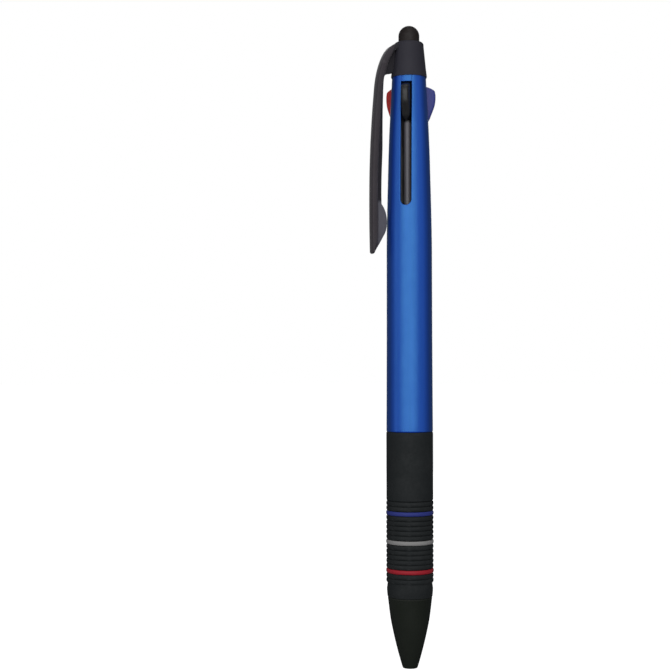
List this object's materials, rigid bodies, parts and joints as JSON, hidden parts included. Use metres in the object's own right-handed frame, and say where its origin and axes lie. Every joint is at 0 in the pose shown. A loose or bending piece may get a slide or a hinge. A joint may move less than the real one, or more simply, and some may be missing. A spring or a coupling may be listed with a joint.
{
  "type": "multicolor click pen",
  "caption": "Three-colour retractable ballpoint pen with press sliders in barrel slots, pocket clip, ribbed rubber grip with coloured rings and a rubber stylus end.",
  "frame": {"origin": "on the pen's axis at its centre of volume, 72.8 mm above the nose end", "axes": "+Z along the axis from the nose to the stylus; -X towards the pocket clip, +X towards the blue slider, the black slider on the -Y side and the red one on the +Y side"},
  "size_m": [0.0161, 0.012, 0.148],
  "materials": {
    "stylus_rubber": "smooth conductive rubber, slightly glossy",
    "soft_black": "soft-touch matt lacquer",
    "barrel_blue": "metallic lacquer, satin",
    "inner_plastic": "plain moulded",
    "core_black": "plain moulded",
    "slider_black": "moulded, semi-gloss",
    "slider_blue": "moulded, semi-gloss",
    "slider_red": "moulded, semi-gloss",
    "spring_steel": "drawn wire",
    "tube_black": "translucent tube full of black ink",
    "tube_blue": "translucent tube full of blue ink",
    "tube_red": "translucent tube full of red ink",
    "point_metal": "turned",
    "ball_metal": "ground carbide",
    "grip_rubber": "moulded, matt",
    "ring_blue": "moulded, matt",
    "ring_white": "moulded, matt",
    "ring_red": "moulded, matt"
  },
  "bodies": {
    "barrel": {"stylus_tip": "stylus_rubber", "stylus_plug": "inner_plastic", "top_cap": "soft_black", "upper_barrel": "barrel_blue", "slot_key_ring": "barrel_blue", "slider_core": "core_black", "spring_plate": "inner_plastic", "return_spring_black": "spring_steel", "return_spring_blue": "spring_steel", "return_spring_red": "spring_steel"},
    "clip": {"clip_arm": "soft_black"},
    "slider_black": {"slider_black": "slider_black", "refill_tube_black": "tube_black", "refill_tip_black": "point_metal", "writing_ball_black": "ball_metal"},
    "slider_blue": {"slider_blue": "slider_blue", "refill_tube_blue": "tube_blue", "refill_tip_blue": "point_metal", "writing_ball_blue": "ball_metal"},
    "slider_red": {"slider_red": "slider_red", "refill_tube_red": "tube_red", "refill_tip_red": "point_metal", "writing_ball_red": "ball_metal"},
    "front_carrier": {"grip_ring_white": "ring_white"},
    "front": {"lower_barrel": "core_black", "grip_sleeve": "grip_rubber", "grip_ring_blue": "ring_blue", "grip_ring_red": "ring_red", "nose_cone": "soft_black"}
  },
  "joints": [
    {"name": "press_black", "type": "slide", "parent": "barrel", "child": "slider_black", "axis": [0, 0, -1], "range_m": [0, 0.016], "stiffness_N_per_m": 60, "springref_m": -0.004, "deforming": ["return_spring_black"]},
    {"name": "press_blue", "type": "slide", "parent": "barrel", "child": "slider_blue", "axis": [0, 0, -1], "range_m": [0, 0.016], "stiffness_N_per_m": 60, "springref_m": -0.004, "deforming": ["return_spring_blue"]},
    {"name": "press_red", "type": "slide", "parent": "barrel", "child": "slider_red", "axis": [0, 0, -1], "range_m": [0, 0.016], "stiffness_N_per_m": 60, "springref_m": -0.004, "deforming": ["return_spring_red"]},
    {"name": "clip_flex", "type": "hinge", "parent": "barrel", "child": "clip", "pos_m": [-0.0063, 0, 0.0645], "axis": [0, 1, 0], "range_deg": [0, 4], "stiffness_Nm_per_rad": 0.6},
    {"name": "front_travel", "type": "slide", "parent": "barrel", "child": "front_carrier", "axis": [0, 0, -1], "range_m": [0, 0.005]},
    {"name": "front_turn", "type": "hinge", "parent": "front_carrier", "child": "front", "pos_m": [0, 0, -0.015], "axis": [0, 0, -1], "range_deg": [0, 1440]}
  ],
  "couplings": [
    {"joint": "front_turn", "follows": "front_travel", "rad_per_m": 5026.5}
  ]
}
